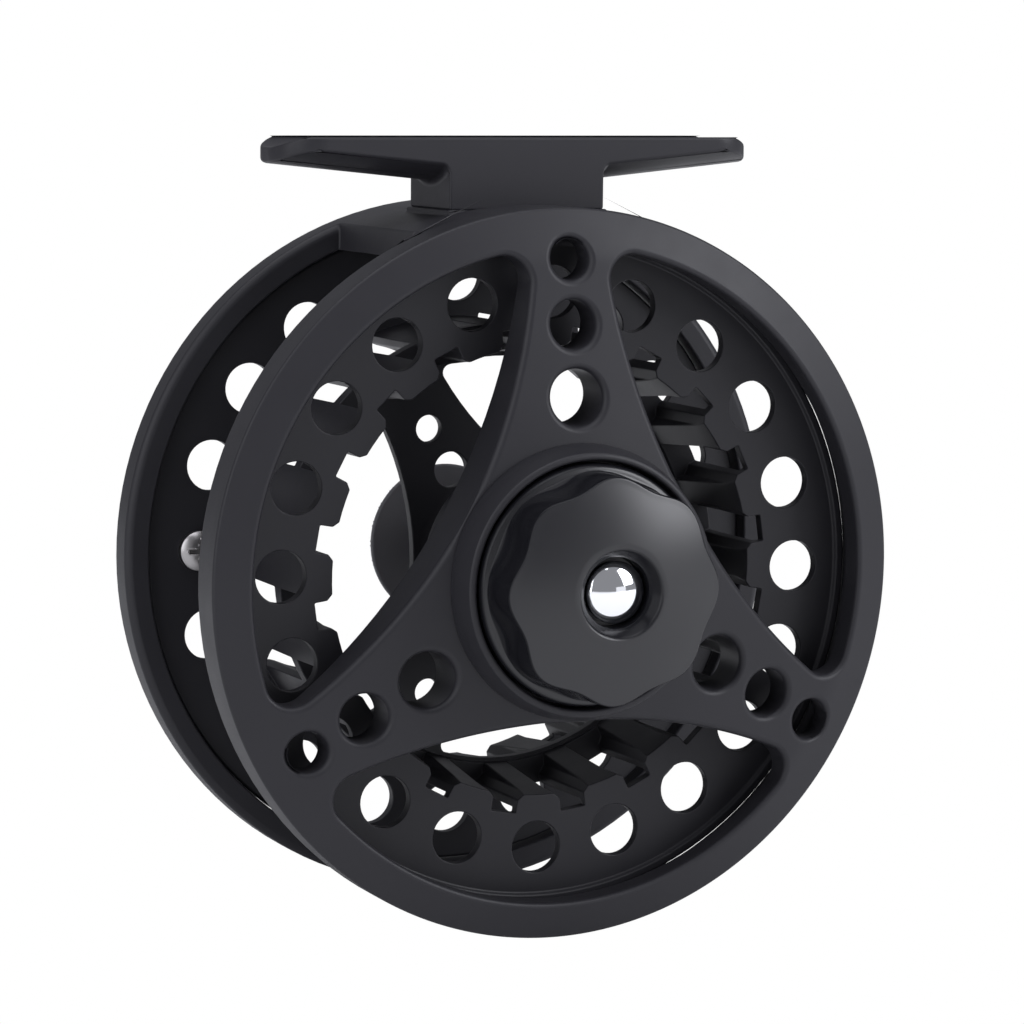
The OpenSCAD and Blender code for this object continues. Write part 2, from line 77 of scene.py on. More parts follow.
def make_camera():
    """A long lens to the left of the knob, a little above the spindle."""
    forward = Vector((math.sin(YAW) * math.cos(PITCH), math.cos(YAW) * math.cos(PITCH),
                      -math.sin(PITCH)))
    level = Vector((math.cos(YAW), -math.sin(YAW), 0))
    rise = level.cross(forward)
    right = level * math.cos(ROLL) + rise * math.sin(ROLL)
    up = rise * math.cos(ROLL) - level * math.sin(ROLL)
    data = bpy.data.cameras.new("camera")
    data.sensor_width = SENSOR
    data.lens = LENS
    data.clip_start = CLIP_NEAR
    data.clip_end = CLIP_FAR
    camera = bpy.data.objects.new("camera", data)
    turn = Matrix((right, up, -forward)).transposed().to_4x4()
    camera.matrix_world = Matrix.Translation(CAMERA_AT) @ turn
    SCENE.collection.objects.link(camera)
    SCENE.camera = camera


make_camera()

# ---------------------------------------------------------------- studio

# Place, size and watts of each light, in metres.
LIGHTS = {
    "top_softbox": ((-0.1, -0.1, 0.8), (0.9, 0.7), 5.0),
    "left_softbox": ((-0.93, -0.45, 0.34), (0.8, 1.0), 6.3),
    "right_softbox": ((0.75, -0.65, 0.45), (0.55, 0.7), 10.0),
    "low_fill": ((0.5, -1.0, -0.02), (0.5, 0.25), 0.3),
}
LIGHT_TINT = (0.94, 0.95, 1.0)
REEL_MIDDLE = Vector((0, 0, -0.05))
ROOM_LEVEL = 0.3
ROOM_TINT, WHITE = (0.93, 0.94, 1.0, 1), (1, 1, 1, 1)
# Colour sockets of a Mix node.
MIX_A, MIX_B, MIX_OUT = 6, 7, 2


def area_light(name, place, size, watts):
    """Soft rectangular light aimed at the middle of the reel."""
    data = bpy.data.lights.new(name, "AREA")
    data.shape = "RECTANGLE"
    data.size, data.size_y = size
    data.energy = watts
    data.color = LIGHT_TINT
    light = bpy.data.objects.new(name, data)
    aim = (REEL_MIDDLE - Vector(place)).to_track_quat("-Z", "Y")
    light.matrix_world = Matrix.Translation(place) @ aim.to_matrix().to_4x4()
    SCENE.collection.objects.link(light)


def make_world():
    """Dim grey room for the reel, plain white where the camera looks past it."""
    world = bpy.data.worlds.new("studio")
    world.use_nodes = True
    tree = world.node_tree
    back = tree.nodes["Background"]
    path = tree.nodes.new("ShaderNodeLightPath")
    level = tree.nodes.new("ShaderNodeMapRange")
    level.inputs["To Min"].default_value = ROOM_LEVEL
    level.inputs["To Max"].default_value = 1.0
    tree.links.new(path.outputs["Is Camera Ray"], level.inputs["Value"])
    tint = tree.nodes.new("ShaderNodeMix")
    tint.data_type = "RGBA"
    tint.inputs[MIX_A].default_value = ROOM_TINT
    tint.inputs[MIX_B].default_value = WHITE
    tree.links.new(path.outputs["Is Camera Ray"], tint.inputs["Factor"])
    tree.links.new(tint.outputs[MIX_OUT], back.inputs["Color"])
    tree.links.new(level.outputs["Result"], back.inputs["Strength"])
    SCENE.world = world


# ---------------------------------------------------------------- materials

IOR = 1.5
# Cosine between the rounded and the plain normal, at the edge and on the flat.
EDGE_COSINE, FLAT_COSINE = 0.8, 0.995


class Shader:
    """A material's node tree with short ways to add and join nodes."""

    def __init__(self, name):
        self.material = bpy.data.materials.new(name)
        self.material.use_nodes = True
        self.tree = self.material.node_tree
        self.bsdf = self.tree.nodes["Principled BSDF"]
        self.place = self.add("ShaderNodeTexCoord").outputs["Object"]

    def add(self, kind, **values):
        node = self.tree.nodes.new(kind)
        for key, value in values.items():
            setattr(node, key, value)
        return node

    def join(self, source, socket):
        self.tree.links.new(source, socket)

    def feed(self, source, name):
        """Joins a value to one of the surface's sockets."""
        self.join(source, self.bsdf.inputs[name])

    def set(self, **values):
        """Sets values that are the same all over the surface."""
        for key, value in values.items():
            self.bsdf.inputs[key.replace("_", " ")].default_value = value

    def noise(self, scale, detail=2.0, rough=0.5):
        node = self.add("ShaderNodeTexNoise")
        node.inputs["Scale"].default_value = scale
        node.inputs["Detail"].default_value = detail
        node.inputs["Roughness"].default_value = rough
        self.join(self.place, node.inputs["Vector"])
        return node.outputs["Fac"]

    def span(self, source, low, high, from_low=0.0, from_high=1.0):
        """Value stretched from one range to another."""
        node = self.add("ShaderNodeMapRange")
        node.inputs["From Min"].default_value = from_low
        node.inputs["From Max"].default_value = from_high
        node.inputs["To Min"].default_value = low
        node.inputs["To Max"].default_value = high
        self.join(source, node.inputs["Value"])
        return node.outputs["Result"]

    def math(self, operation, a, b):
        node = self.add("ShaderNodeMath", operation=operation)
        for socket, value in zip(node.inputs, (a, b)):
            if isinstance(value, (int, float)):
                socket.default_value = value
            else:
                self.join(value, socket)
        return node.outputs[0]

    def blend(self, factor, dark, light):
        node = self.add("ShaderNodeMix", data_type="RGBA")
        self.join(factor, node.inputs["Factor"])
        for socket, colour in ((node.inputs[MIX_A], dark), (node.inputs[MIX_B], light)):
            if isinstance(colour, tuple):
                socket.default_value = (*colour, 1)
            else:
                self.join(colour, socket)
        return node.outputs[MIX_OUT]

    def bump(self, height, strength, distance):
        """Fine relief; distance in mm."""
        node = self.add("ShaderNodeBump")
        node.inputs["Strength"].default_value = strength
        node.inputs["Distance"].default_value = distance * MM
        self.join(height, node.inputs["Height"])
        self.feed(node.outputs["Normal"], "Normal")

    def edges(self, radius):
        """0 on the flat, rising to 1 along sharp outer and inner edges."""
        rounded = self.add("ShaderNodeBevel", samples=6)
        rounded.inputs["Radius"].default_value = radius
        plain = self.add("ShaderNodeNewGeometry").outputs["Normal"]
        dot = self.add("ShaderNodeVectorMath", operation="DOT_PRODUCT")
        self.join(rounded.outputs["Normal"], dot.inputs[0])
        self.join(plain, dot.inputs[1])
        return self.span(dot.outputs["Value"], 1.0, 0.0, EDGE_COSINE, FLAT_COSINE)


def satin_black(name, dark, light, rough):
    """Blasted and black-anodised metal: fine grain, soft mottling, a faint rub on its edges."""
    mottling, patches, wear, grain = 70.0, 260.0, 900.0, 5200.0
    rub_width, rub_light, uneven = 0.3 * MM, 2.6, 0.05
    s = Shader(name)
    grain_height = s.noise(grain, 2.0, 0.6)
    base = s.blend(s.noise(mottling, 3.0), dark, light)
    rub = s.math("MULTIPLY", s.edges(rub_width), s.span(s.noise(wear, 3.0), 0.0, 0.5, 0.4, 0.7))
    s.feed(s.blend(rub, base, tuple(rub_light * c for c in light)), "Base Color")
    change = s.math("ADD", s.span(s.noise(patches, 3.0), -uneven, uneven),
                    s.span(grain_height, -uneven, uneven))
    s.feed(s.math("ADD", change, rough), "Roughness")
    s.bump(grain_height, 0.35, 0.012)
    s.set(IOR=IOR, Specular_IOR_Level=0.24)
    return s.material


def finish_knob(name):
    """Lathe-turned satin face with polished scallops round the side."""
    face_tilt = (-0.95, -0.7)
    side_rough, face_rough = 0.22, 0.34
    side_shine, face_shine = 0.09, 0.52
    s = Shader(name)
    facing = s.add("ShaderNodeSeparateXYZ")
    s.join(s.add("ShaderNodeNewGeometry").outputs["Normal"], facing.inputs[0])
    face = s.span(facing.outputs["Y"], 1.0, 0.0, *face_tilt)
    s.feed(s.blend(s.noise(90.0), (0.006, 0.006, 0.0075), (0.009, 0.009, 0.011)), "Base Color")
    rough = s.span(face, side_rough, face_rough)
    s.feed(s.math("ADD", rough, s.span(s.noise(700.0, 3.0), -0.02, 0.02)), "Roughness")
    turned = s.add("ShaderNodeTexWave", wave_type="RINGS", rings_direction="Y")
    turned.inputs["Scale"].default_value = 1400.0
    turned.inputs["Distortion"].default_value = 0.6
    turned.inputs["Detail"].default_value = 1.0
    move = s.add("ShaderNodeMapping")
    centre = (Vector(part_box("spindle_end_nut")[0]) + Vector(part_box("spindle_end_nut")[1])) / 2
    move.inputs["Location"].default_value = -centre
    s.join(s.place, move.inputs["Vector"])
    s.join(move.outputs["Vector"], turned.inputs["Vector"])
    s.bump(s.math("MULTIPLY", turned.outputs["Fac"], face), 0.1, 0.004)
    s.feed(s.span(face, side_shine, face_shine), "Specular IOR Level")
    s.set(IOR=IOR)
    return s.material


def metal(name, colour, rough, uneven=0.04):
    """Bare metal with fine scratches and slight tarnish."""
    tarnish, scratches = 180.0, 2600.0
    s = Shader(name)
    s.feed(s.blend(s.noise(tarnish, 3.0), tuple(0.9 * c for c in colour), colour), "Base Color")
    lines = s.noise(scratches, 3.0, 0.6)
    s.feed(s.math("ADD", s.span(lines, -uneven, uneven), rough), "Roughness")
    s.bump(lines, 0.25, 0.004)
    s.set(Metallic=1.0)
    return s.material


def soft_plastic(name, dark, light, rough):
    """Moulded plastic or rubber with a fine grit."""
    mottling, grain, uneven = 160.0, 3000.0, 0.05
    s = Shader(name)
    s.feed(s.blend(s.noise(mottling, 3.0), dark, light), "Base Color")
    grit = s.noise(grain, 3.0, 0.6)
    s.feed(s.math("ADD", s.span(grit, -uneven, uneven), rough), "Roughness")
    s.bump(grit, 0.3, 0.01)
    return s.material


def cork(name):
    """Brown cells of cut cork."""
    s = Shader(name)
    cells = s.add("ShaderNodeTexVoronoi", feature="F1")
    cells.inputs["Scale"].default_value = 1400.0
    s.join(s.place, cells.inputs["Vector"])
    s.feed(s.blend(cells.outputs["Distance"], (0.30, 0.17, 0.09), (0.62, 0.43, 0.27)),
           "Base Color")
    s.bump(cells.outputs["Distance"], 0.5, 0.08)
    s.set(Roughness=0.85)
    return s.material


LOOKS = {
    "case_black": satin_black("case_black_look", (0.0140, 0.0136, 0.0162),
                              (0.0172, 0.0168, 0.0200), 0.46),
    "foot_black": satin_black("foot_black_look", (0.0152, 0.0148, 0.0176),
                              (0.0186, 0.0181, 0.0216), 0.44),
    "knob_black": finish_knob("knob_black_look"),
    "grip_black": soft_plastic("grip_black_look", (0.016, 0.016, 0.017),
                               (0.024, 0.024, 0.025), 0.55),
    "steel": metal("steel_look", (0.62, 0.62, 0.64), 0.26),
    "chrome": metal("chrome_look", (0.86, 0.87, 0.89), 0.06, 0.01),
    "brass": metal("brass_look", (0.78, 0.60, 0.28), 0.30),
    "bronze": metal("bronze_look", (0.62, 0.42, 0.24), 0.42),
    "cork": cork("cork_look"),
    "nylon": soft_plastic("nylon_look", (0.78, 0.78, 0.74), (0.86, 0.86, 0.82), 0.42),
    "seal_rubber": soft_plastic("seal_rubber_look", (0.014, 0.014, 0.015),
                                (0.022, 0.022, 0.023), 0.6),
}
SLOT_OF = {row["node"]: row["material_slot"] for row in frame["record"]["subparts"]}
# Nodes whose look differs from the others in their slot.
OWN_LOOKS = {
    "spool": satin_black("spool_look", (0.0112, 0.0109, 0.0130), (0.0138, 0.0134, 0.0160), 0.46),
    "spool_cap": satin_black("cap_look", (0.140, 0.138, 0.147), (0.165, 0.162, 0.173), 0.40),
    "counterweight_screw": metal("screw_look", (0.32, 0.31, 0.31), 0.30),
}


def dress(node, obj):
    """Puts a node's look on all its material slots."""
    if not obj.material_slots:
        obj.data.materials.append(None)
    for slot in obj.material_slots:
        slot.link = "OBJECT"
        slot.material = OWN_LOOKS.get(node, LOOKS[SLOT_OF[node]])


for node, obj in NODES.items():
    dress(node, obj)

# ---------------------------------------------------------------- rounded edges

SHARP_ANGLE, FLAT_ANGLE = math.radians(30), math.radians(0.2)
SAME_SPOT = 1e-6
# Outer and inner edge radii in mm.
EDGE_MM = {"spool": (0.15, 0.15), "foot": (0.3, 0.8),
           "spool_cap": (0.12, 0.2), "counterweight_screw": (0.06, 0.04),
           "handle_screw": (0.05, 0.04), "foot_screws": (0.06, 0.04),
           "housing_cover": (0.12, 0.1), "handle_grip": (0.15, 0.15), "handle_post": (0.1, 0.1),
           "spindle_end_nut": (0.1, 0.1), "counterweight": (0.12, 0.1)}
# Radii this small in mm need only two segments.
SMALL_EDGE = 0.1


class Nodes:
    """A geometry node group with short ways to add and join nodes."""

    def __init__(self, name):
        self.tree = bpy.data.node_groups.new(name, "GeometryNodeTree")
        for way in ("INPUT", "OUTPUT"):
            self.tree.interface.new_socket("Geometry", in_out=way,
                                           socket_type="NodeSocketGeometry")
        self.start = self.tree.nodes.new("NodeGroupInput").outputs[0]
        self.end = self.tree.nodes.new("NodeGroupOutput").inputs[0]

    def add(self, kind, inputs=(), **values):
        node = self.tree.nodes.new(kind)
        for key, value in values.items():
            setattr(node, key, value)
        for key, value in dict(inputs).items():
            socket = node.inputs[key]
            if isinstance(value, bpy.types.NodeSocket):
                self.tree.links.new(value, socket)
            else:
                socket.default_value = value
        return node

    def math(self, operation, a, b):
        return self.add("ShaderNodeMath", {0: a, 1: b}, operation=operation).outputs[0]


def edge_widths(name, outer, inner):
    """Marks each sharp edge with the width of its radius in mm: outer edges, inner corners."""
    g = Nodes(name)
    smooth = g.add("GeometryNodeSetShadeSmooth", {"Geometry": g.start}).outputs[0]
    angle = g.add("GeometryNodeInputMeshEdgeAngle")
    sharp = g.math("GREATER_THAN", angle.outputs["Unsigned Angle"], SHARP_ANGLE)
    convex = g.math("GREATER_THAN", angle.outputs["Signed Angle"], 0.0)
    width = g.math("ADD", g.math("MULTIPLY", convex, outer - inner), inner)
    marked = g.add("GeometryNodeStoreNamedAttribute",
                   {"Geometry": smooth, "Name": "bevel_weight_edge",
                    "Value": g.math("MULTIPLY", sharp, width)},
                   data_type="FLOAT", domain="EDGE")
    g.tree.links.new(marked.outputs[0], g.end)
    return g.tree


def round_edges(obj, outer, inner):
    """Radii along a CAD solid's edges, put on with modifiers; widths in mm."""
    weld = obj.modifiers.new("weld", "WELD")
    weld.merge_threshold = SAME_SPOT
    flat = obj.modifiers.new("flat", "DECIMATE")
    flat.decimate_type = "DISSOLVE"
    flat.angle_limit = FLAT_ANGLE
    mark = obj.modifiers.new("mark", "NODES")
    mark.node_group = edge_widths(obj.name + "_edges", outer, inner)
    bevel = obj.modifiers.new("bevel", "BEVEL")
    bevel.width = MM
    bevel.segments = 3 if outer > SMALL_EDGE else 2
    bevel.limit_method = "WEIGHT"
    bevel.use_clamp_overlap = False
    bevel.miter_outer = "MITER_ARC"
    bevel.profile = 0.5
    normals = obj.modifiers.new("normals", "WEIGHTED_NORMAL")
    normals.keep_sharp = False
    normals.weight = 60


for node, (outer, inner) in EDGE_MM.items():
    round_edges(NODES[node], outer, inner)

# ---------------------------------------------------------------- frame

# Sizes in mm, the same as the CAD frame's. A station is how far a place is behind the front
# edge of the drag-side ring. The collar stands in front of it.
COLLAR_AHEAD = 9.0
COLLAR_R, RING_R, BORE_R, PLATE_BACK = 16.15, 43.1, 38.6, 1.6
HUB_ARC_R, HUB_ARC_NEAR, WINDOW_CORNER = 73.0, 16.4, 3.0
SPOKE_HOLES = ((21.3, 3.3), (29.7, 2.85), (37.2, 2.4))
SPOKES, WINDOWS = (90, 210, 330), (30, 150, 270)
# The plate's front is a shallow cone that bends down at the ring.
CONE_START, INNER_SLOPE, OUTER_SLOPE, BEND_FROM, BEND_LENGTH = -5.15, 0.1478, 0.365, 36.8, 2.0
# Round edges of the openings and of the ring's rim.
SOFT_EDGE, THIN_EDGE, COLLAR_GAP = 0.8, 0.12, 0.08
RIM_ROUND, RIM_STATION, RIM_LEAN = 0.45, 0.3, math.atan(OUTER_SLOPE)
RIM_FROM = RING_R - RIM_ROUND + RIM_ROUND * math.sin(RIM_LEAN)
EDGE_STEPS, RIM_STEPS, AROUND = 6, 5, 288
# Points between the openings, and the tags that tell where a point lies.
GRID_STEP = 1.1
RIM, COLLAR, BETWEEN = -1, -2, -3
BODY_EDGE = 0.3

AXIS = (Vector(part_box("spindle")[0]) + Vector(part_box("spindle")[1])) / 2
RING_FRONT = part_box("frame")[0].y + COLLAR_AHEAD * MM


def at_station(x, station, z):
    """Place in the frame from mm beside and above the spindle."""
    return Vector((AXIS.x + x * MM, RING_FRONT + station * MM, AXIS.z + z * MM))


def plate_front(radius):
    """Station and slope of the plate's front."""
    bend = min(max(radius - BEND_FROM, 0.0), BEND_LENGTH)
    past = max(radius - BEND_FROM - BEND_LENGTH, 0.0)
    more = OUTER_SLOPE - INNER_SLOPE
    station = (CONE_START + INNER_SLOPE * (radius - COLLAR_R)
               + more * bend * bend / 2 / BEND_LENGTH + more * past)
    return station, INNER_SLOPE + more * bend / BEND_LENGTH


def front_normal(x, z):
    radius = math.hypot(x, z)
    slope = plate_front(radius)[1]
    return Vector((slope * x / radius, -1.0, slope * z / radius)).normalized()


def arc(cx, cz, radius, start, end, steps):
    """Points of an arc with the directions away from its centre."""
    out = []
    for i in range(steps):
        a = start + (end - start) * i / steps
        out.append((cx + radius * math.cos(a), cz + radius * math.sin(a), math.cos(a),
                    math.sin(a)))
    return out


def circle(radius):
    """Points of a circle round the spindle."""
    return [(x, z) for x, z, _, _ in arc(0, 0, radius, 0, 2 * math.pi, AROUND)]


def window_outline():
    """Opening between two spokes, lying along +X: ring bore, hub arc and two corners."""
    u0 = HUB_ARC_NEAR + HUB_ARC_R
    bore_in, arc_in = BORE_R - WINDOW_CORNER, HUB_ARC_R - WINDOW_CORNER
    cu = (bore_in ** 2 - arc_in ** 2 + u0 * u0) / (2 * u0)
    cv = math.sqrt(bore_in ** 2 - cu * cu)
    beta, gamma = math.atan2(cv, cu), math.atan2(cv, cu - u0)
    side, corner = 64, 20
    return (arc(0, 0, BORE_R, -beta, beta, side)
            + arc(cu, cv, WINDOW_CORNER, beta, gamma, corner)
            + arc(u0, 0, HUB_ARC_R, gamma, 2 * math.pi - gamma, side)
            + arc(cu, -cv, WINDOW_CORNER, -gamma, -beta, corner))


def turned_outline(points, angle):
    """Outline turned about the spindle, with the width of its round edge at each point,
    which narrows where the opening comes close to the collar."""
    c, s = math.cos(angle), math.sin(angle)
    out = []
    for x, z, nx, nz in points:
        room = math.hypot(x, z) - COLLAR_R - COLLAR_GAP
        out.append((c * x - s * z, s * x + c * z, c * nx - s * nz, s * nx + c * nz,
                    min(SOFT_EDGE, max(THIN_EDGE, room))))
    return out


def plate_cuts():
    """Outlines of the three windows and the nine spoke holes."""
    cuts = [turned_outline(window_outline(), math.radians(a)) for a in WINDOWS]
    for a in SPOKES:
        for radius, hole in SPOKE_HOLES:
            ring = arc(radius, 0, hole, 0, 2 * math.pi, 56)
            cuts.append(turned_outline(ring, math.radians(a)))
    return cuts


def within(spot, shape):
    """True inside a closed outline."""
    inside = False
    for i, a in enumerate(shape):
        b = shape[(i + 1) % len(shape)]
        if (a.y > spot.y) != (b.y > spot.y):
            if spot.x < a.x + (b.x - a.x) * (spot.y - a.y) / (b.y - a.y):
                inside = not inside
    return inside


class Plate:
    """Front of the drag-side ring and its spokes, with soft round edges on every opening.
    Every vertex has its exact normal."""

    def __init__(self):
        self.points, self.normals, self.faces = [], [], []
        self.flat, self.tags, self.borders = [], [], []
        self.cuts = plate_cuts()
        self.rims = [self.loop([(x + nx * w, z + nz * w) for x, z, nx, nz, w in cut], tag)
                     for tag, cut in enumerate(self.cuts)]
        self.shapes = [[self.flat[k] for k in rim] for rim in self.rims]
        self.outer = self.loop(circle(RIM_FROM), RIM)
        self.loop(circle(COLLAR_R), COLLAR)

    def vertex(self, point, normal):
        self.points.append(point)
        self.normals.append(normal)
        return len(self.points) - 1

    def lay(self, x, z, tag):
        """Vertex on the plate's front."""
        self.flat.append(Vector((x, z)))
        self.tags.append(tag)
        station = plate_front(math.hypot(x, z))[0]
        return self.vertex(at_station(x, station, z), front_normal(x, z))

    def loop(self, spots, tag):
        """Closed border on the plate's front."""
        ring = [self.lay(x, z, tag) for x, z in spots]
        self.borders.extend((ring[i], ring[(i + 1) % len(ring)]) for i in range(len(ring)))
        return ring

    def face(self, corners):
        """Face turned to the side that its normals point to."""
        a, b, c = (self.points[k] for k in corners[:3])
        facing = sum((self.normals[k] for k in corners), Vector())
        if (b - a).cross(c - a).dot(facing) < 0:
            corners = tuple(reversed(corners))
        self.faces.append(corners)

    def strip(self, one, two):
        for i in range(len(one)):
            j = (i + 1) % len(one)
            self.face((one[i], two[i], two[j], one[j]))

    def scatter(self):
        """Points between the openings, which keep the plate's cone in shape."""
        near = kdtree.KDTree(len(self.flat))
        for k, spot in enumerate(self.flat):
            near.insert((spot.x, spot.y, 0), k)
        near.balance()
        for row in range(1, int((RIM_FROM - COLLAR_R) / GRID_STEP) + 1):
            radius = COLLAR_R + row * GRID_STEP
            count = int(2 * math.pi * radius / GRID_STEP)
            for i in range(count):
                a = 2 * math.pi * (i + 0.5 * (row % 2)) / count
                spot = Vector((radius * math.cos(a), radius * math.sin(a)))
                if near.find((spot.x, spot.y, 0))[2] < GRID_STEP / 2:
                    continue
                if not any(within(spot, shape) for shape in self.shapes):
                    self.lay(spot.x, spot.y, BETWEEN)

    def cover(self):
        """Triangles over the front, except in the openings and the collar."""
        made = delaunay_2d_cdt(self.flat, self.borders, [], 0, SAME_SPOT)
        origin = [ids[0] if ids else None for ids in made[3]]
        for face in made[2]:
            corners = tuple(origin[k] for k in face)
            tags = {self.tags[k] for k in corners}
            tag = tags.pop() if len(tags) == 1 else BETWEEN
            middle = sum((self.flat[k] for k in corners), Vector((0, 0))) / 3
            if tag == COLLAR or tag >= 0 and within(middle, self.shapes[tag]):
                continue
            self.face(corners)

    def round_opening(self, cut, rim):
        """Quarter-round edge of an opening, and its wall to the back of the plate."""
        last = rim
        for k in range(1, EDGE_STEPS + 1):
            lean = math.pi / 2 * (1 - k / EDGE_STEPS)
            out, drop = 1 - math.cos(lean), 1 - math.sin(lean)
            ring = []
            for x, z, nx, nz, w in cut:
                px, pz = x + nx * w * out, z + nz * w * out
                station = plate_front(math.hypot(px, pz))[0] + w * drop
                wall = Vector((-nx, 0, -nz))
                normal = front_normal(px, pz) * math.sin(lean) + wall * math.cos(lean)
                ring.append(self.vertex(at_station(px, station, pz), normal.normalized()))
            self.strip(last, ring)
            last = ring
        back = [self.vertex(at_station(x, PLATE_BACK, z), Vector((-nx, 0, -nz)))
                for x, z, nx, nz, w in cut]
        self.strip(last, back)

    def round_rim(self):
        """Round outer edge of the ring."""
        last = self.outer
        for k in range(1, RIM_STEPS + 1):
            lean = RIM_LEAN + (math.pi / 2 - RIM_LEAN) * k / RIM_STEPS
            radius = RING_R - RIM_ROUND + RIM_ROUND * math.sin(lean)
            station = RIM_STATION - RIM_ROUND * math.cos(lean)
            ring = []
            for x, z in circle(1.0):
                normal = Vector((x, 0, z)) * math.sin(lean) - Vector((0, math.cos(lean), 0))
                ring.append(self.vertex(at_station(radius * x, station, radius * z), normal))
            self.strip(last, ring)
            last = ring

    def build(self, name):
        self.scatter()
        self.cover()
        for cut, rim in zip(self.cuts, self.rims):
            self.round_opening(cut, rim)
        self.round_rim()
        mesh = bpy.data.meshes.new(name)
        mesh.from_pydata(self.points, [], self.faces)
        mesh.shade_smooth()
        mesh.normals_split_custom_set_from_vertices(self.normals)
        piece = bpy.data.objects.new(name, mesh)
        SCENE.collection.objects.link(piece)
        return piece


def plate_has(face):
    """True for a CAD face on the plate's front or on the wall of an opening."""
    middle = face.calc_center_median()
    radius = math.hypot(middle.x - AXIS.x, middle.z - AXIS.z) / MM
    station = (middle.y - RING_FRONT) / MM
    front = face.normal.y < -0.5 and radius > COLLAR_R + 0.01 and station < RIM_ROUND
    wall = (abs(face.normal.y) < 0.3 and COLLAR_R + 0.05 < radius < BORE_R + 0.4
            and station < PLATE_BACK + 0.05)
    return front or wall


def make_frame_body(name):
    """The rest of the frame: the CAD solid without the faces that the plate takes over."""
    source = NODES["frame"]
    work = bmesh.new()
    work.from_mesh(source.data)
    work.transform(source.matrix_world)
    bmesh.ops.remove_doubles(work, verts=work.verts, dist=SAME_SPOT)
    work.normal_update()
    taken = [face for face in work.faces if plate_has(face)]
    bmesh.ops.delete(work, geom=taken, context="FACES")
    mesh = bpy.data.meshes.new(name)
    work.to_mesh(mesh)
    work.free()
    piece = bpy.data.objects.new(name, mesh)
    SCENE.collection.objects.link(piece)
    round_edges(piece, BODY_EDGE, BODY_EDGE)
    return piece


for piece in (Plate().build("frame_plate"), make_frame_body("frame_body")):
    piece.data.materials.clear()
    piece.data.materials.append(LOOKS["case_black"])
    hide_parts("frame")
    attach(piece, "frame")

# ---------------------------------------------------------------- drag knob

# Sizes in mm; a knob station is how far a place is in front of the knob's back face.
CREST_R, WAVE, WAVES = 13.2, 0.48, 8
DOME_R, CROWN, FACE_EDGE = 40.0, 10.8, 0.32
SINK_R, NUT_BORE_R, POCKET_R, SHAFT_R = 5.37, 4.07, 5.9, 2.6
WEB_BACK, WEB_FRONT = 5.3, 6.6
FLARE_LOW, FLARE_HIGH, FLARE_OUT, LIP = 2.0, 4.9, 0.1, 0.8
# Countersink round the nut: how far outside the bore, and its station.
COUNTERSINK = ((0.0, WEB_FRONT), (0.0, 7.2), (0.0, 8.9), (0.08, 9.15), (0.35, 9.5), (0.8, 10.05))
SOFT_CORNER, SKIRT_CORNER = 0.1, 0.2
KNOB_STEPS = 320
lo, hi = (Vector(corner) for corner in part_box("drag_knob"))
SKIRT_R = (hi.x - lo.x) / 2 / MM


def side_radius(turn):
    """Radius of the waved side."""
    return CREST_R - WAVE + WAVE * math.cos(WAVES * (turn - math.pi / 2))


def dome(radius):
    """Station of the domed face."""
    return CROWN - DOME_R + math.sqrt(DOME_R * DOME_R - radius * radius)


def at(radius, station):
    """The same all round."""
    return lambda turn: (radius, station)


def on_face(part):
    """Part of the way from the countersink to the waved edge."""
    def ring(turn):
        radius = SINK_R + part * (side_radius(turn) - FACE_EDGE - SINK_R)
        return radius, dome(radius)
    return ring


def on_edge(lean):
    """On the round edge between face and side."""
    def ring(turn):
        radius = side_radius(turn)
        return (radius - FACE_EDGE + FACE_EDGE * math.sin(lean),
                dome(radius - FACE_EDGE) - FACE_EDGE + FACE_EDGE * math.cos(lean))
    return ring


def on_side(part):
    """Part of the way down the waved side."""
    def ring(turn):
        radius = side_radius(turn)
        top = dome(radius - FACE_EDGE) - FACE_EDGE
        return radius + FLARE_OUT * part, top + part * (FLARE_HIGH - top)
    return ring


def on_flare(part):
    """Part of the way out to the skirt's lip."""
    lean = part * math.pi / 2

    def ring(turn):
        start, end = side_radius(turn) + FLARE_OUT, SKIRT_R - LIP
        return (start + (end - start) * (1 - math.cos(lean)),
                FLARE_HIGH + (FLARE_LOW + LIP - FLARE_HIGH) * math.sin(lean))
    return ring


def knob_rings():
    """Loop of functions of the angle, each giving a radius and a station, from the bore out
    over the face, down the side and back in along the pocket for the drag nut."""
    soft_sink = SINK_R - 0.2
    rings = [at(NUT_BORE_R + out, station) for out, station in COUNTERSINK]
    rings += [at(soft_sink, dome(soft_sink) - 0.08), at(SINK_R, dome(SINK_R))]
    rings += [on_face(k / 12) for k in range(1, 12)]
    rings += [on_edge(math.radians(22.5 * k)) for k in range(5)]
    rings += [on_side(part) for part in (0.15, 0.4, 0.7, 1.0)]
    rings += [on_flare(k / 8) for k in range(1, 8)]
    for k in range(7):
        lean = math.radians(15 * k)
        rings.append(at(SKIRT_R - LIP + LIP * math.sin(lean), FLARE_LOW + LIP * math.cos(lean)))
    rings += [at(SKIRT_R, 1.5), at(SKIRT_R, SKIRT_CORNER), at(SKIRT_R - SKIRT_CORNER, 0.0),
              at(10.0, 0.0), at(POCKET_R + SOFT_CORNER, 0.0), at(POCKET_R, SOFT_CORNER),
              at(POCKET_R, WEB_BACK - SOFT_CORNER / 2), at(POCKET_R - SOFT_CORNER, WEB_BACK),
              at(SHAFT_R + SOFT_CORNER, WEB_BACK), at(SHAFT_R, WEB_BACK + SOFT_CORNER),
              at(SHAFT_R, WEB_FRONT - SOFT_CORNER), at(SHAFT_R + SOFT_CORNER, WEB_FRONT),
              at(NUT_BORE_R - SOFT_CORNER, WEB_FRONT)]
    return rings


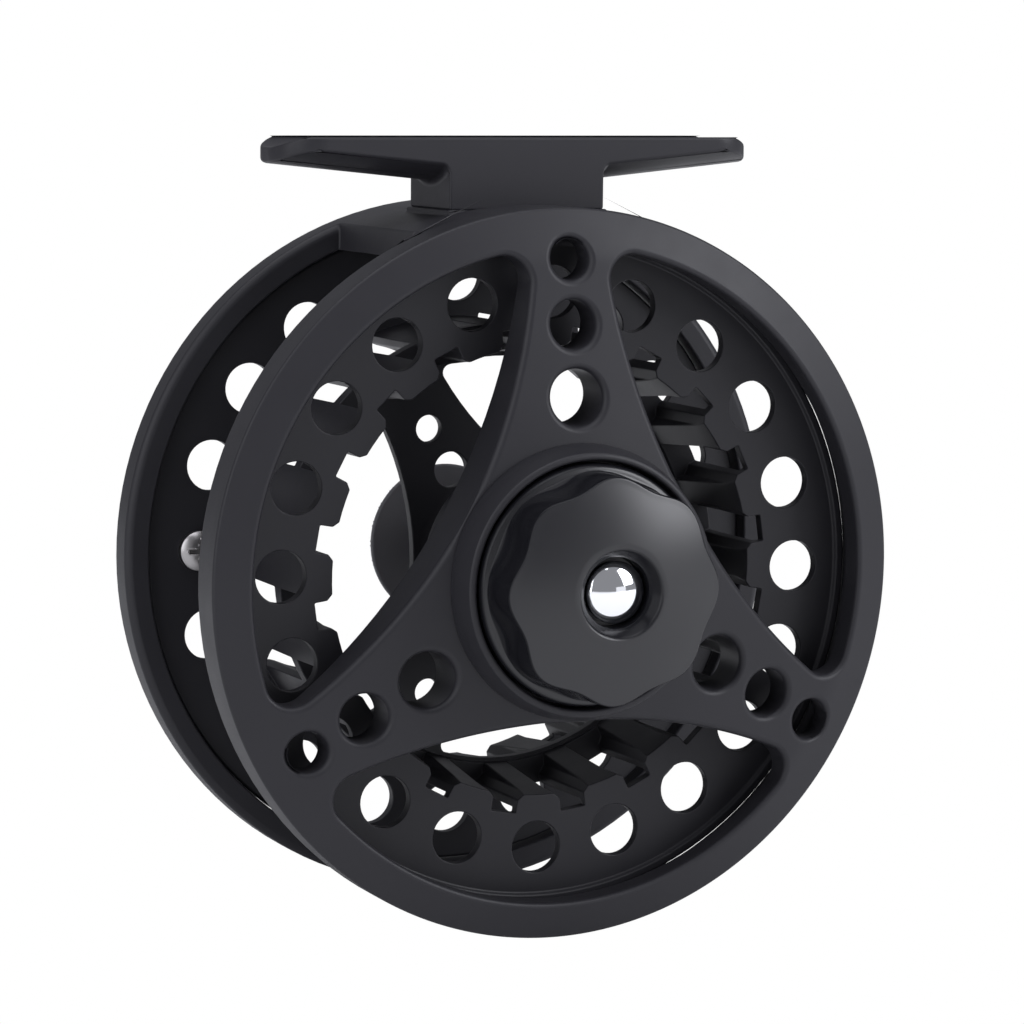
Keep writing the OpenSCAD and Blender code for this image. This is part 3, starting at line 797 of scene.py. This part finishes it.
def make_knob(name):
    """Domed face with a rounded edge, eight waves round the side and a flared skirt."""
    verts, faces = [], []
    rings = knob_rings()
    for ring in rings:
        for i in range(KNOB_STEPS):
            turn = 2 * math.pi * i / KNOB_STEPS
            radius, station = ring(turn)
            verts.append((AXIS.x + radius * MM * math.cos(turn), hi.y - station * MM,
                          AXIS.z + radius * MM * math.sin(turn)))
    for k in range(len(rings)):
        a, b = k * KNOB_STEPS, ((k + 1) % len(rings)) * KNOB_STEPS
        for i in range(KNOB_STEPS):
            j = (i + 1) % KNOB_STEPS
            faces.append((a + i, b + i, b + j, a + j))
    mesh = bpy.data.meshes.new(name)
    mesh.from_pydata(verts, [], faces)
    work = bmesh.new()
    work.from_mesh(mesh)
    bmesh.ops.recalc_face_normals(work, faces=work.faces)
    work.to_mesh(mesh)
    work.free()
    mesh.shade_smooth()
    piece = bpy.data.objects.new(name, mesh)
    SCENE.collection.objects.link(piece)
    piece.data.materials.append(LOOKS["knob_black"])
    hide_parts("drag_knob")
    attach(piece, "drag_knob")


make_knob("knob_body")

# ---------------------------------------------------------------- floor and lights

FLOOR_HALF = 8.0
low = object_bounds()[0].z


def make_floor():
    """Pale floor under the reel, plain white to the camera."""
    half = FLOOR_HALF
    mesh = bpy.data.meshes.new("floor")
    corners = [(-half, -half, low), (half, -half, low), (half, half, low), (-half, half, low)]
    mesh.from_pydata(corners, [], [(0, 1, 2, 3)])
    floor = bpy.data.objects.new("floor", mesh)
    SCENE.collection.objects.link(floor)
    s = Shader("floor_look")
    s.feed(s.blend(s.noise(3.0, 3.0), (0.92, 0.92, 0.92), (0.96, 0.96, 0.96)), "Base Color")
    s.set(Roughness=0.9)
    glow = s.add("ShaderNodeEmission")
    pick = s.add("ShaderNodeMixShader")
    s.join(s.add("ShaderNodeLightPath").outputs["Is Camera Ray"], pick.inputs["Fac"])
    s.join(s.bsdf.outputs[0], pick.inputs[1])
    s.join(glow.outputs[0], pick.inputs[2])
    s.join(pick.outputs[0], s.tree.nodes["Material Output"].inputs["Surface"])
    mesh.materials.append(s.material)


make_floor()
make_world()
for name, (place, size, watts) in LIGHTS.items():
    area_light(name, place, size, watts)
